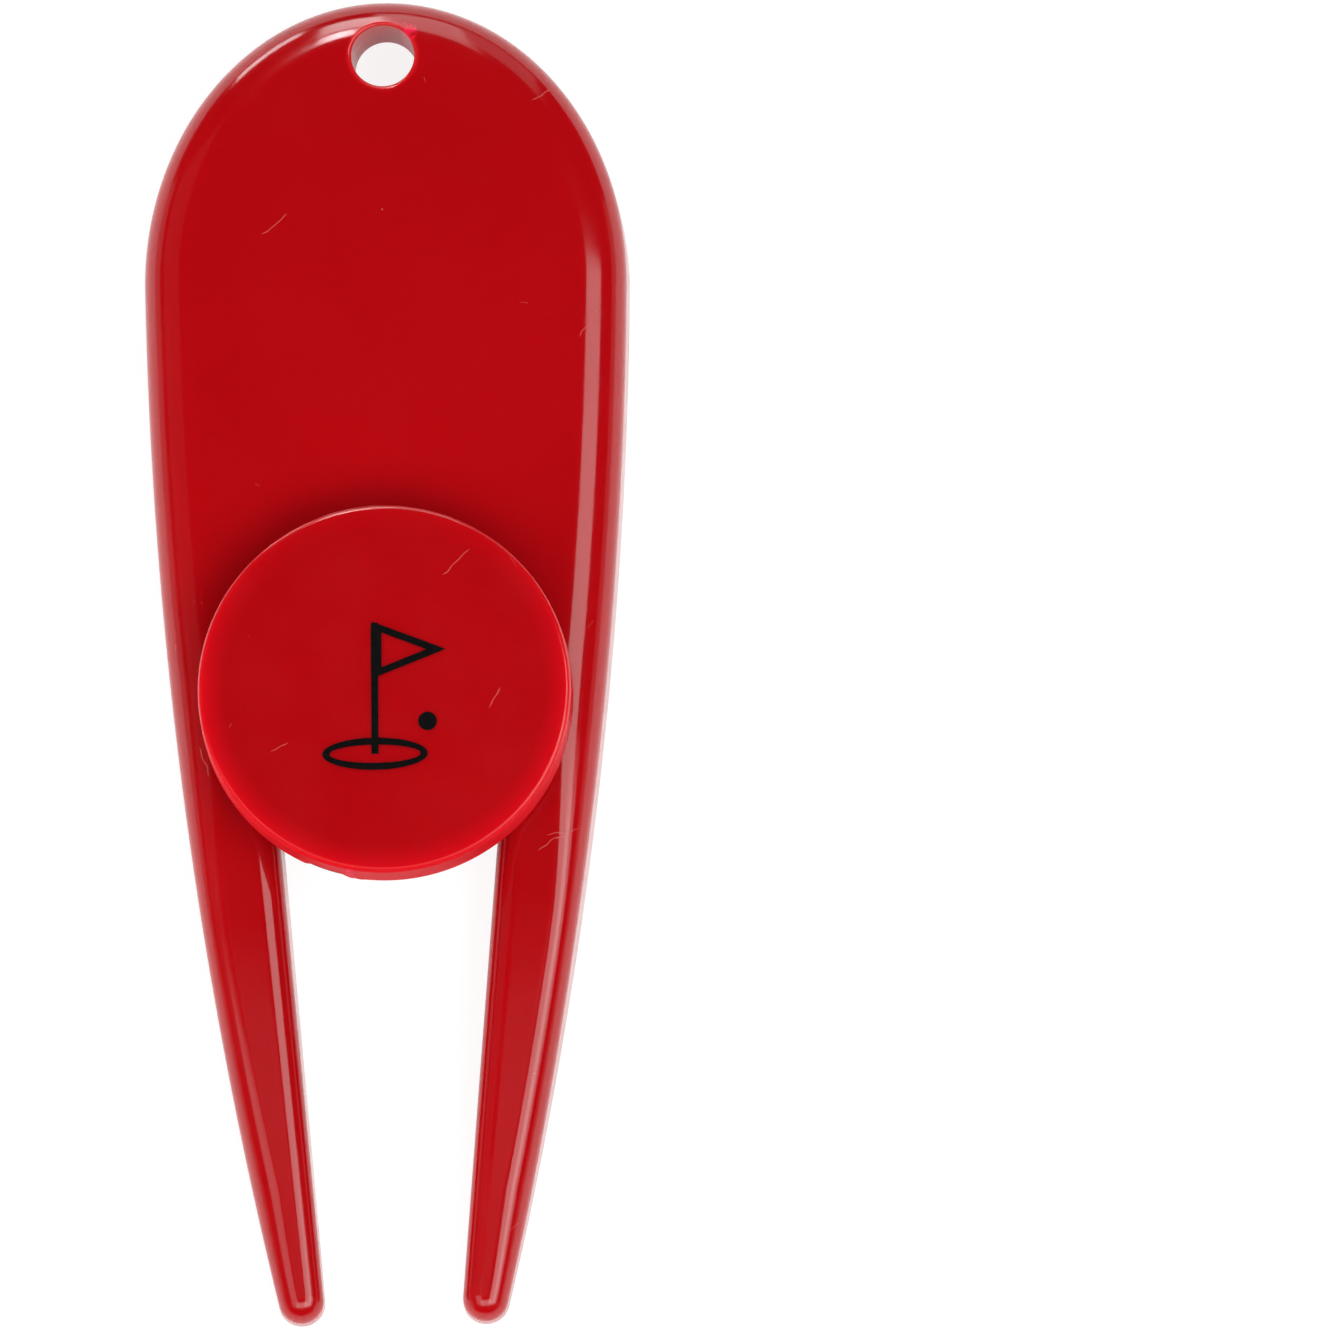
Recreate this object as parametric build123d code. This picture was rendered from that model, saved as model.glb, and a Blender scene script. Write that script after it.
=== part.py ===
from build123d import *

import math
import os

# A golfer's divot repair tool with a removable ball marker.
#
# The tool lies flat on its back.  +Z leaves the marker side, +Y points to the key-ring end and
# +X to the right as seen from the marker side.  The origin is the middle of the underside's
# outline.  Sizes are in millimetres and angles in degrees.

# ---- driving dimensions: fork body --------------------------------------------------------

tool_length = 86.7
body_thickness = 6.1            # of the handle, down to the start of the prongs

end_half_width = 15.75          # half width of the elliptical handle end, the tool's widest place
end_depth = 18.6                # from the tip of that end to its widest place
end_sweep_past_widest = 1.1     # degrees of ellipse kept past the widest place

prong_tip_radius = 1.5
prong_tip_offset = 5.96         # from the centre line to the middle of a prong's round tip
prong_tip_thickness = 3.1

gap_half_width = 7.2            # half the gap between the prongs, at the crotch
crotch_y = -9.4                 # where the gap ends
crotch_corner_radius = 2.8

prong_slope_start_y = -12.0     # the top face slopes down to the tips from here
prong_slope_blend = 500.0       # radius that blends the flat top into the slope

top_edge_radius = 1.45
bottom_edge_radius = 0.3

ring_hole_diameter = 4.1
ring_hole_inset = 4.0           # from the end of the handle to the hole's centre
hole_edge_radius = 0.25

# ---- driving dimensions: ball marker ------------------------------------------------------

marker_y = -3.1                 # centre of the marker on the tool's centre line
marker_face_diameter = 24.1
marker_base_diameter = 24.25    # the rim's wall flares a little towards the underside
marker_thickness = 2.9
marker_edge_radius = 0.35
marker_base_edge_radius = 0.12

collar_diameter = 8.0           # the collar holds the disc clear of the body
collar_height = 0.5
peg_diameter = 4.5
peg_end_height = 0.8            # the peg stops this far above the underside
peg_chamfer = 0.5
peg_clearance = 0.05            # radial, between the peg and its socket
socket_lead_in = 0.3

# ---- driving dimensions: printed emblem ---------------------------------------------------

ink_thickness = 0.04
ink_line = 0.45
flagpole_height = 8.6
pennant_length = 4.6
pennant_height = 3.6
cup_half_width = 3.4
cup_half_depth = 1.05
ball_radius = 0.6
emblem_shift_x = -0.6           # centres the pole and pennant together on the disc

# ---- derived places -----------------------------------------------------------------------

end_y = tool_length / 2
tip_y = -tool_length / 2
marker_underside_z = body_thickness + collar_height
marker_face_z = marker_underside_z + marker_thickness
socket_radius = peg_diameter / 2 + peg_clearance


def polar(centre, radius, angle):
    """Point at a radius and an angle, in radians, from a centre."""
    return Vector(centre.X + radius * math.cos(angle), centre.Y + radius * math.sin(angle))


def arc_between(centre, radius, start, end):
    """Arc round a centre from one angle to another, both in radians."""
    middle = (start + end) / 2
    return ThreePointArc(
        polar(centre, radius, start), polar(centre, radius, middle), polar(centre, radius, end)
    )


def right_half_outline():
    """Edges of the right half of the fork's outline, from the handle end round to the crotch."""
    # Elliptical handle end.
    end_centre = Vector(0, end_y - end_depth)
    end_arc = EllipticalCenterArc(
        end_centre,
        end_half_width,
        end_depth,
        start_angle=-end_sweep_past_widest,
        arc_size=90 + end_sweep_past_widest,
    )

    # Long side arc: tangent to the ellipse where it stops, and to the round tip of the prong.
    sweep = math.radians(-end_sweep_past_widest)
    side_start = end_centre + Vector(
        end_half_width * math.cos(sweep), end_depth * math.sin(sweep)
    )
    inward = Vector(
        -end_depth * math.cos(sweep), -end_half_width * math.sin(sweep)
    ).normalized()
    tip_centre = Vector(prong_tip_offset, tip_y + prong_tip_radius)
    from_tip = side_start - tip_centre
    side_radius = (prong_tip_radius ** 2 - from_tip.dot(from_tip)) / (
        2 * (inward.dot(from_tip) + prong_tip_radius)
    )
    side_centre = side_start + inward * side_radius
    to_start = side_start - side_centre
    to_tip = tip_centre - side_centre
    start_angle = math.atan2(to_start.Y, to_start.X)
    outer_angle = math.atan2(to_tip.Y, to_tip.X)
    side_arc = arc_between(side_centre, side_radius, start_angle, outer_angle)

    # Straight inner edge of the prong, from the round tip up to the crotch corner.
    corner = Vector(gap_half_width, crotch_y)
    to_corner = corner - tip_centre
    tangent_turn = math.acos(prong_tip_radius / to_corner.length)
    inner_angle = math.atan2(to_corner.Y, to_corner.X) + tangent_turn
    tip_arc = arc_between(
        tip_centre, prong_tip_radius, outer_angle, inner_angle - 2 * math.pi
    )
    inner_foot = polar(tip_centre, prong_tip_radius, inner_angle)
    inner_edge = FilletPolyline(
        inner_foot, corner, Vector(0, crotch_y), radius=crotch_corner_radius
    )
    return [end_arc, side_arc, tip_arc, *inner_edge.edges()]


def fork_blank():
    """Fork outline raised to the handle's thickness."""
    half = right_half_outline()
    other_half = [edge.mirror(Plane.YZ) for edge in half]
    outline = make_face(Wire.combine(half + other_half)[0])
    return extrude(outline, amount=body_thickness)


def space_over_prongs():
    """Solid above the sloping top of the prongs, to cut away."""
    margin = 2.0
    drop = body_thickness - prong_tip_thickness
    slope = drop / (prong_slope_start_y - tip_y)
    top_line = FilletPolyline(
        (end_y + margin, body_thickness),
        (prong_slope_start_y, body_thickness),
        (tip_y - margin, prong_tip_thickness - slope * margin),
        radius=prong_slope_blend,
    )
    roof = Polyline(
        (tip_y - margin, prong_tip_thickness - slope * margin),
        (tip_y - margin, body_thickness + margin),
        (end_y + margin, body_thickness + margin),
        (end_y + margin, body_thickness),
    )
    profile = make_face(Plane.YZ * (top_line + roof))
    return extrude(profile, amount=end_half_width + margin, both=True)


def is_rim_edge(edge):
    """True for an edge between the top and the walls, and not across the top or down a wall."""
    box = edge.bounding_box()
    runs_down_wall = box.min.Z < prong_tip_thickness / 2
    crosses_top = edge.length > end_half_width and box.size.Y < bottom_edge_radius
    return not runs_down_wall and not crosses_top


def make_tool_body():
    """One moulding: handle, two prongs, ring hole and the marker's socket."""
    body = fork_blank() - space_over_prongs()
    body = fillet([edge for edge in body.edges() if is_rim_edge(edge)], top_edge_radius)
    body = fillet(body.edges().filter_by_position(Axis.Z, 0, 0), bottom_edge_radius)

    through = 3 * body_thickness
    ring_hole = Pos(0, end_y - ring_hole_inset, 0) * Cylinder(ring_hole_diameter / 2, through)
    socket = Pos(0, marker_y, 0) * Cylinder(socket_radius, through)
    body = body - ring_hole
    hole_rims = body.edges().filter_by(GeomType.CIRCLE)
    hole_rims = [e for e in hole_rims if abs(e.radius - ring_hole_diameter / 2) < 0.01]
    body = fillet(hole_rims, hole_edge_radius)
    body = body - socket
    socket_rims = body.edges().filter_by(GeomType.CIRCLE)
    socket_rims = [e for e in socket_rims if abs(e.radius - socket_radius) < 0.01]
    return chamfer(socket_rims, socket_lead_in)


def make_ball_marker():
    """One moulding: disc, stand-off collar and the peg that presses into the body."""
    base_radius = marker_base_diameter / 2
    face_radius = marker_face_diameter / 2
    collar_radius = collar_diameter / 2
    peg_radius = peg_diameter / 2
    half_section = Polyline(
        (0, peg_end_height),
        (peg_radius - peg_chamfer, peg_end_height),
        (peg_radius, peg_end_height + peg_chamfer),
        (peg_radius, body_thickness),
        (collar_radius, body_thickness),
        (collar_radius, marker_underside_z),
        (base_radius, marker_underside_z),
        (face_radius, marker_face_z),
        (0, marker_face_z),
        close=True,
    )
    marker = revolve(make_face(Plane.XZ * half_section), Axis.Z)
    face_rim = marker.edges().group_by(Axis.Z)[-1]
    marker = fillet(face_rim, marker_edge_radius)
    base_rim = [
        e for e in marker.edges().filter_by(GeomType.CIRCLE) if abs(e.radius - base_radius) < 0.01
    ]
    return Pos(0, marker_y, 0) * fillet(base_rim, marker_base_edge_radius)


def make_marker_print():
    """Ink film on the marker, in line work: a plain flag on a pole, its cup and a ball."""
    pole_foot = -flagpole_height / 2
    pole_top = flagpole_height / 2
    pole = Rectangle(ink_line, flagpole_height)
    pennant_cloth = make_face(
        Polyline(
            (0, pole_top),
            (pennant_length, pole_top - pennant_height / 2),
            (0, pole_top - pennant_height),
            close=True,
        )
    )
    pennant = pennant_cloth - offset(pennant_cloth, amount=-ink_line)
    cup = Pos(0, pole_foot) * (
        Ellipse(cup_half_width, cup_half_depth)
        - Ellipse(cup_half_width - ink_line, cup_half_depth - ink_line)
    )
    ball = Pos(cup_half_width, pole_foot + 2 * cup_half_depth) * Circle(ball_radius)
    emblem = pole + pennant + cup + ball
    return Pos(emblem_shift_x, marker_y, marker_face_z) * extrude(emblem, amount=ink_thickness)


os.makedirs("parts", exist_ok=True)
for node, make in (
    ("tool_body", make_tool_body),
    ("ball_marker", make_ball_marker),
    ("marker_print", make_marker_print),
):
    export_step(make(), f"parts/{node}.step")
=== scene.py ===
import math

import bpy
import numpy as np
from mathutils import Matrix, Vector, geometry


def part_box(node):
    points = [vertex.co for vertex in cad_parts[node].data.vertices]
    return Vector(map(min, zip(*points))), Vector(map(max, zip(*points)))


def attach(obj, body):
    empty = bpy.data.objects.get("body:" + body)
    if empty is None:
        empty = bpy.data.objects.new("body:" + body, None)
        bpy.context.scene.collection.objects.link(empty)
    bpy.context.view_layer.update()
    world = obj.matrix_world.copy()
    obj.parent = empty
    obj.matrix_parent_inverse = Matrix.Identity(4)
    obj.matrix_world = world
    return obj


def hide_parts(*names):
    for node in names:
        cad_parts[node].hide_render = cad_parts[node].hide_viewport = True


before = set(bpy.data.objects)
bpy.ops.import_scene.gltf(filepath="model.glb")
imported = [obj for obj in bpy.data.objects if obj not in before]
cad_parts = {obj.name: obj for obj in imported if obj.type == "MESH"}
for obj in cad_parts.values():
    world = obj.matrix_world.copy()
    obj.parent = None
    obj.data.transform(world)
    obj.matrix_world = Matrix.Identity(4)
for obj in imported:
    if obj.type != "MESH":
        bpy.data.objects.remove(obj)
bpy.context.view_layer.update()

# The looks of a moulded plastic divot repair tool and its ball marker.
#
# Shapes are worked out in millimetres, in the row frame: the tool lies on its back, +Z leaves
# the marker side, +Y points to the key-ring end.  They become metres when a mesh is made.

MM = 0.001
SAME_PLACE = 1e-6               # points nearer than this, in millimetres, are one
DOWN = np.array([0, 0, -1.0])


def box_mm(node):
    """Lowest and highest corners of a CAD node, in millimetres."""
    low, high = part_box(node)
    return low / MM, high / MM


# ---- sizes read from the frame ---------------------------------------------------------------

fork_low, fork_high = box_mm("tool_body")
marker_low, marker_high = box_mm("ball_marker")

END_Y = fork_high.y
TIP_Y = fork_low.y
HALF_WIDTH = fork_high.x
TOP_Z = fork_high.z
MARKER_Y = (marker_low.y + marker_high.y) / 2
MARKER_FACE_Z = marker_high.z
PEG_END_Z = marker_low.z

# ---- fork sizes, as in the CAD part ----------------------------------------------------------

END_DEPTH = 18.6                # handle end to the tool's widest place
SWEEP_PAST_WIDEST = 1.1         # degrees of ellipse kept past it
TIP_RADIUS = 1.5
TIP_OFFSET = 5.96
TIP_THICKNESS = 3.1
GAP_HALF_WIDTH = 7.2
CROTCH_Y = -9.4
CROTCH_CORNER_RADIUS = 2.8
SLOPE_START_Y = -12.0
SLOPE_BLEND_RADIUS = 500.0
RING_HOLE_Y = END_Y - 4.0
RING_HOLE_RADIUS = 2.05
HOLE_RIM_RADIUS = 0.25
SOCKET_RADIUS = 2.3
SOCKET_LEAD_IN = 0.3

# ---- fork edges, rounder on the handle than on the prongs ------------------------------------

HANDLE_EDGE_REACH = 3.1         # how far the rounded top edge reaches in from the wall
PRONG_OUTER_REACH = 1.85
PRONG_INNER_REACH = 1.8
TIP_EDGE_REACH = 1.4
TIP_REACH_LENGTH = 2.0          # the tip's own reach holds this far up the prong
FULL_REACH_LENGTH = 8.0         # and the outer edge has its full reach from here
EDGE_CHANGE_FROM_Y = -19.0
EDGE_CHANGE_TO_Y = -1.0
HANDLE_LOWER_CURVE = 0.78       # radius of the edge's lower half, as a share of its reach
PRONG_OUTER_LOWER_CURVE = 1.0
PRONG_INNER_LOWER_CURVE = 0.85
BOTTOM_EDGE_RADIUS = 0.3
TIP_BOTTOM_RADIUS = 0.8         # the underside's edge grows rounder over the last of the prongs
TIP_ROUNDING_LENGTH = 7.0
HALF_WAY = math.sqrt(0.5)       # sine and cosine of the tilt where the two curves meet
WALL_DRAFT = math.tan(math.radians(1.0))

EJECTOR_MARKS = (               # x, y and radius of the shallow rounds on the underside
    (0.0, 29.0, 1.9),
    (-9.5, 12.5, 1.9),
    (9.5, 12.5, 1.9),
    (-9.2, -19.0, 1.25),
    (9.2, -19.0, 1.25),
)
EJECTOR_DEPTH = 0.08
EJECTOR_WALL_RUN = 0.06         # width of the step down into a mark

# ---- how finely the fork is divided ----------------------------------------------------------

END_STEPS = 72                  # points along each stretch of the half outline
SIDE_STEPS = 96
TIP_STEPS = 30
INNER_STEPS = 44
CORNER_STEPS = 16
CROTCH_STEPS = 7
BOTTOM_EDGE_TILTS = np.radians([0, 22.5, 45, 67.5, 90])
WALL_SHARES = (0.25, 0.5, 0.75)
STEEP_TILTS = np.radians(np.linspace(0, 49.5, 12))      # the top edge, from the wall up
SHALLOW_TILTS = np.radians(np.linspace(54, 90, 9))
RING_HOLE_STEPS = 72
SOCKET_STEPS = 64
EJECTOR_STEPS = 40
TOP_GRID_SPACING = 1.1          # loose points that keep the flat faces evenly divided
TOP_GRID_CLEARANCE = 0.5
BOTTOM_GRID_SPACING = 1.6
BOTTOM_GRID_CLEARANCE = 0.6
HOLE_CLEARANCE = 0.12           # edge points this near the ring hole are left out

# ---- marker sizes, as in the CAD part --------------------------------------------------------

FACE_RADIUS = 12.05
BASE_RADIUS = 12.125
DISC_THICKNESS = 2.9
RIM_RADIUS = 0.35
BASE_RIM_RADIUS = 0.12
GATE_FROM_X = -5.3              # cut-off gate on the disc's wall, on the prongs' side
GATE_TO_X = -1.7
GATE_CUT = 0.13                 # depth of the cut
GATE_EASE = 0.4                 # it fades in and out over this length
GATE_BELOW_FACE = 0.5           # and deepens from here, below the face,
GATE_ABOVE_BASE = 0.6           # down to here, above the disc's back
NUB_X = -2.3                    # the stub of plastic left in the cut
NUB_WIDTH = 0.5
NUB_HEIGHT = 0.16
COLLAR_RADIUS = 4.0
COLLAR_HEIGHT = 0.5
COLLAR_FILLET = 0.15            # where the collar leaves the disc: its reach,
COLLAR_FILLET_DROP = 0.08       # and its height
COLLAR_EDGE = 0.03
PEG_RADIUS = 2.25
PEG_FILLET = 0.05
PEG_CHAMFER = 0.5
PEG_EDGE = 0.02
PEG_END_RING = 0.6
FACE_RINGS = (0.25, 0.5, 0.8, 1.2, 2.0, 3.5, 5.5, 7.5, 9.5, 11.0)
BACK_RINGS = (10.5, 8.0, 5.5)
DISC_STEPS = 360


def smoothstep(low, high, value):
    """0 up to low, 1 from high on, and smooth between.  low may be the greater."""
    t = np.clip((value - low) / (high - low), 0.0, 1.0)
    return t * t * (3 - 2 * t)


# ---- mesh building ---------------------------------------------------------------------------

class Shell:
    """Points, faces and exact point normals of one surface, in millimetres."""

    def __init__(self):
        self.points = []
        self.normals = []
        self.faces = []

    def add(self, points, normals):
        """Adds points and returns their numbers."""
        first = len(self.points)
        self.points.extend(np.asarray(points, float).tolist())
        self.normals.extend(np.asarray(normals, float).tolist())
        return list(range(first, len(self.points)))

    def bridge(self, lower, upper):
        """Quads between two closed rings of equal length.

        They face out when the rings run anticlockwise and the lower one comes first."""
        count = len(lower)
        for i in range(count):
            j = (i + 1) % count
            self.faces.append((lower[i], lower[j], upper[j], upper[i]))

    def fill(self, loops, extra=(), holes=(), flip=False):
        """Triangles over the flat area between loops, seen from above.

        loops are rings of point numbers, closed or open, whose edges are kept.  extra are loose
        point numbers inside.  holes are (x, y, radius) rounds that stay open."""
        numbers = []
        edges = []
        for ring, closed in loops:
            first = len(numbers)
            numbers.extend(ring)
            edges += [(first + i, first + i + 1) for i in range(len(ring) - 1)]
            if closed:
                edges.append((first + len(ring) - 1, first))
        numbers.extend(extra)
        flat = [Vector(self.points[n][:2]) for n in numbers]
        outer = np.array([self.points[n][:2] for n in loops[0][0]])
        filled = geometry.delaunay_2d_cdt(flat, edges, [], 0, SAME_PLACE)
        triangles, origin = filled[2], filled[3]
        for triangle in triangles:
            corners = [numbers[origin[v][0]] for v in triangle]
            middle = np.mean([self.points[c][:2] for c in corners], axis=0)
            in_hole = any(math.hypot(middle[0] - x, middle[1] - y) < r for x, y, r in holes)
            if in_hole or not inside(outer, middle):
                continue
            self.faces.append(tuple(reversed(corners)) if flip else tuple(corners))

    def make(self, name):
        """The Blender object, smooth shaded with the exact normals."""
        mesh = bpy.data.meshes.new(name)
        mesh.from_pydata([[c * MM for c in p] for p in self.points], [], self.faces)
        mesh.polygons.foreach_set("use_smooth", [True] * len(mesh.polygons))
        mesh.normals_split_custom_set_from_vertices(self.normals)
        mesh.update()
        obj = bpy.data.objects.new(name, mesh)
        bpy.context.scene.collection.objects.link(obj)
        return obj


def inside(outline, point):
    """True if a point is inside a closed outline."""
    x, y = outline[:, 0], outline[:, 1]
    x2, y2 = np.roll(x, -1), np.roll(y, -1)
    crosses = (y > point[1]) != (y2 > point[1])
    slope = (x2 - x) / np.where(crosses, y2 - y, 1.0)
    return bool(np.count_nonzero(crosses & (point[0] < x + (point[1] - y) * slope)) % 2)


def ring_of(x, y, radius, count, z):
    """Points of a level circle, anticlockwise seen from above."""
    turn = np.linspace(0, 2 * math.pi, count, endpoint=False)
    return np.column_stack(
        [x + radius * np.cos(turn), y + radius * np.sin(turn), np.broadcast_to(z, count)]
    )


# ---- fork body -------------------------------------------------------------------------------

def outer_edge(y):
    """Edge shape along the outside: the rounded edge's reach, and its lower curve's share of it."""
    widening = [TIP_Y + TIP_REACH_LENGTH, TIP_Y + FULL_REACH_LENGTH]
    along_prong = np.interp(y, widening, [TIP_EDGE_REACH, PRONG_OUTER_REACH])
    on_handle = smoothstep(EDGE_CHANGE_FROM_Y, EDGE_CHANGE_TO_Y, y)
    reach = along_prong + (HANDLE_EDGE_REACH - along_prong) * on_handle
    lower = PRONG_OUTER_LOWER_CURVE + (HANDLE_LOWER_CURVE - PRONG_OUTER_LOWER_CURVE) * on_handle
    return reach, lower


def inner_edge(y):
    """Edge shape between the prongs."""
    widening = [TIP_Y + TIP_REACH_LENGTH, CROTCH_Y]
    reach = np.interp(y, widening, [TIP_EDGE_REACH, PRONG_INNER_REACH])
    return reach, PRONG_INNER_LOWER_CURVE


def direction(turn):
    """Unit vector at an angle from +X."""
    return np.array([math.cos(turn), math.sin(turn)])


def on_handle_end(turn):
    """Place on the elliptical handle end, and the normal into the body there."""
    place = np.array([HALF_WIDTH, END_DEPTH]) * direction(turn)
    place[1] += END_Y - END_DEPTH
    inward = -direction(turn) / np.array([HALF_WIDTH, END_DEPTH])
    return place, inward / np.linalg.norm(inward)


def side_arc(tip):
    """Centre, radius and both turns of the long side, tangent to the handle end and the tip."""
    start, inward = on_handle_end(math.radians(-SWEEP_PAST_WIDEST))
    from_tip = start - tip
    radius = (TIP_RADIUS ** 2 - from_tip @ from_tip) / (2 * (inward @ from_tip + TIP_RADIUS))
    centre = start + inward * radius
    first = math.atan2(*(start - centre)[::-1])
    last = math.atan2(*(tip - centre)[::-1])
    return centre, radius, first, last


def outer_stretch(tip):
    """(place, normal into the body, edge shape) from the end of the handle round the tip."""
    rows = []
    for turn in np.radians(np.linspace(90, -SWEEP_PAST_WIDEST, END_STEPS)[:-1]):
        place, inward = on_handle_end(turn)
        rows.append((place, inward, outer_edge(place[1])))
    centre, radius, first, last = side_arc(tip)
    for turn in np.linspace(first, last, SIDE_STEPS)[:-1]:
        place = centre + radius * direction(turn)
        rows.append((place, -direction(turn), outer_edge(place[1])))
    to_corner = np.array([GAP_HALF_WIDTH, CROTCH_Y]) - tip
    inner_turn = math.atan2(to_corner[1], to_corner[0])
    inner_turn += math.acos(TIP_RADIUS / np.linalg.norm(to_corner))
    for turn in np.linspace(last, inner_turn - 2 * math.pi, TIP_STEPS)[:-1]:
        rows.append((tip + TIP_RADIUS * direction(turn), -direction(turn), (TIP_EDGE_REACH, 1.0)))
    return rows, inner_turn


def inner_stretch(tip, inner_turn):
    """The same, up the prong's straight inner edge, round the corner and along the crotch."""
    rows = []
    corner = np.array([GAP_HALF_WIDTH, CROTCH_Y])
    foot = tip + TIP_RADIUS * direction(inner_turn)
    up = (corner - foot) / np.linalg.norm(corner - foot)
    bend = math.pi - math.atan2(up[1], up[0])
    edge_end = corner - up * CROTCH_CORNER_RADIUS * math.tan(bend / 2)
    into_body = np.array([up[1], -up[0]])
    for share in np.linspace(0, 1, INNER_STEPS)[:-1]:
        place = foot + (edge_end - foot) * share
        rows.append((place, into_body, inner_edge(place[1])))
    centre = edge_end - into_body * CROTCH_CORNER_RADIUS
    start_turn = math.atan2(into_body[1], into_body[0])
    for turn in np.linspace(start_turn, math.pi / 2, CORNER_STEPS)[:-1]:
        outward = direction(turn)
        rows.append((centre + CROTCH_CORNER_RADIUS * outward, outward, inner_edge(CROTCH_Y)))
    for x in np.linspace(centre[0], 0, CROTCH_STEPS):
        rows.append((np.array([x, CROTCH_Y]), np.array([0.0, 1.0]), inner_edge(CROTCH_Y)))
    return rows


def half_outline():
    """Right half of the fork's outline: points, normals into the body, and edge shapes."""
    tip = np.array([TIP_OFFSET, TIP_Y + TIP_RADIUS])
    rows, inner_turn = outer_stretch(tip)
    rows += inner_stretch(tip, inner_turn)
    return tuple(np.array(column) for column in zip(*rows))


def whole_outline():
    """Both halves as one anticlockwise loop, starting at the handle end."""
    points, inward, shapes = half_outline()
    mirror = np.array([-1.0, 1.0])
    left = points * mirror, inward * mirror, shapes
    right = points[::-1][1:-1], inward[::-1][1:-1], shapes[::-1][1:-1]
    return tuple(np.concatenate(pair) for pair in zip(left, right))


def top_height(y):
    """Height of the fork's top face, flat on the handle and sloping down to the tips."""
    slope = (TOP_Z - TIP_THICKNESS) / (SLOPE_START_Y - TIP_Y)
    reach = SLOPE_BLEND_RADIUS * math.tan(math.atan(slope) / 2)
    past = SLOPE_START_Y + reach - np.asarray(y, float)
    eased = slope * past ** 2 / (4 * reach)
    straight = slope * (past - reach)
    return TOP_Z - np.where(past < 0, 0.0, np.where(past < 2 * reach, eased, straight))


def bottom_radius(y):
    """Radius of the underside's edge, larger at the tips."""
    share = smoothstep(TIP_Y + TIP_ROUNDING_LENGTH, TIP_Y, y)
    return BOTTOM_EDGE_RADIUS + (TIP_BOTTOM_RADIUS - BOTTOM_EDGE_RADIUS) * share


def top_normal(y):
    """Normal of the top face away from its edges."""
    step = 0.01
    rise = (top_height(y + step) - top_height(y - step)) / (2 * step)
    normal = np.stack([np.zeros_like(rise), -rise, np.ones_like(rise)], axis=-1)
    return normal / np.linalg.norm(normal, axis=-1, keepdims=True)


def upper_curve(lower):
    """Radius of the edge's upper half that goes with its lower one, as shares of the reach."""
    return (1 - lower * (1 - HALF_WAY)) / HALF_WAY


def edge_inset(angle, lower):
    """How far in the rounded edge has come where its normal is tilted up by angle, as a share."""
    below = 1 - max(math.cos(angle), HALF_WAY)
    above = HALF_WAY - min(math.cos(angle), HALF_WAY)
    return lower * below + upper_curve(lower) * above


def edge_drop(angle, lower):
    """How far the rounded edge still is below the top there, as a share of its reach."""
    below = HALF_WAY - min(math.sin(angle), HALF_WAY)
    above = 1 - max(math.sin(angle), HALF_WAY)
    return lower * below + upper_curve(lower) * above


def edge_angle(inset, lower):
    """Tilt of the edge's normal at an inset given as a share of the reach."""
    lower_part = lower * (1 - HALF_WAY)
    if inset < lower_part:
        return math.acos(1 - inset / lower)
    return math.acos(HALF_WAY - (inset - lower_part) / upper_curve(lower))


def edge_ring(outline, angle):
    """Points and normals round the rounded top edge, where its normal is tilted up by angle."""
    points, inward, shapes = outline
    reach, lower = shapes.T
    wall_top = top_height(points[:, 1]) - reach * edge_drop(0, lower)
    inset = WALL_DRAFT * (wall_top - BOTTOM_EDGE_RADIUS) + reach * edge_inset(angle, lower)
    places = points + inward * inset[:, None]
    lift = top_height(places[:, 1]) - reach * edge_drop(angle, lower)
    up = top_normal(places[:, 1])
    out = np.column_stack([-inward, np.zeros(len(inward))])
    normals = out * math.cos(angle) + up * math.sin(angle)
    normals /= np.linalg.norm(normals, axis=1, keepdims=True)
    return np.column_stack([places, lift]), normals


def surface_near_hole(outline, places):
    """Height and normal of the top face and its rounded edge at loose places on the handle."""
    points, inward, _ = outline
    near = points[:, 1] > 0
    points, inward = points[near], inward[near]
    heights, normals = [], []
    for place in places:
        gap = place - points
        closest = np.argmin((gap ** 2).sum(axis=1))
        depth = gap[closest] @ inward[closest]
        wall = TOP_Z - HANDLE_EDGE_REACH * edge_drop(0, HANDLE_LOWER_CURVE) - BOTTOM_EDGE_RADIUS
        share = float(np.clip((depth - WALL_DRAFT * wall) / HANDLE_EDGE_REACH, 0, 1))
        angle = edge_angle(share, HANDLE_LOWER_CURVE)
        heights.append(TOP_Z - HANDLE_EDGE_REACH * edge_drop(angle, HANDLE_LOWER_CURVE))
        out = np.append(-inward[closest], 0) * math.cos(angle)
        normals.append(out + np.array([0, 0, math.sin(angle)]))
    return np.array(heights), np.array(normals)


def loose_grid(outline_ring, spacing, clearance, holes):
    """Evenly spaced places inside a ring, clear of it and of round holes."""
    low, high = outline_ring.min(axis=0), outline_ring.max(axis=0)
    places = []
    row = 0
    y = low[1]
    while y < high[1]:
        shift = spacing / 2 if row % 2 else 0.0
        for x in np.arange(low[0] + shift, high[0], spacing):
            place = np.array([x, y])
            if ((outline_ring - place) ** 2).sum(axis=1).min() < clearance ** 2:
                continue
            if any(math.hypot(x - hx, y - hy) < hr + clearance for hx, hy, hr in holes):
                continue
            if inside(outline_ring, place):
                places.append(place)
        y += spacing * math.sin(math.radians(60))
        row += 1
    return np.array(places)


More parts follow.
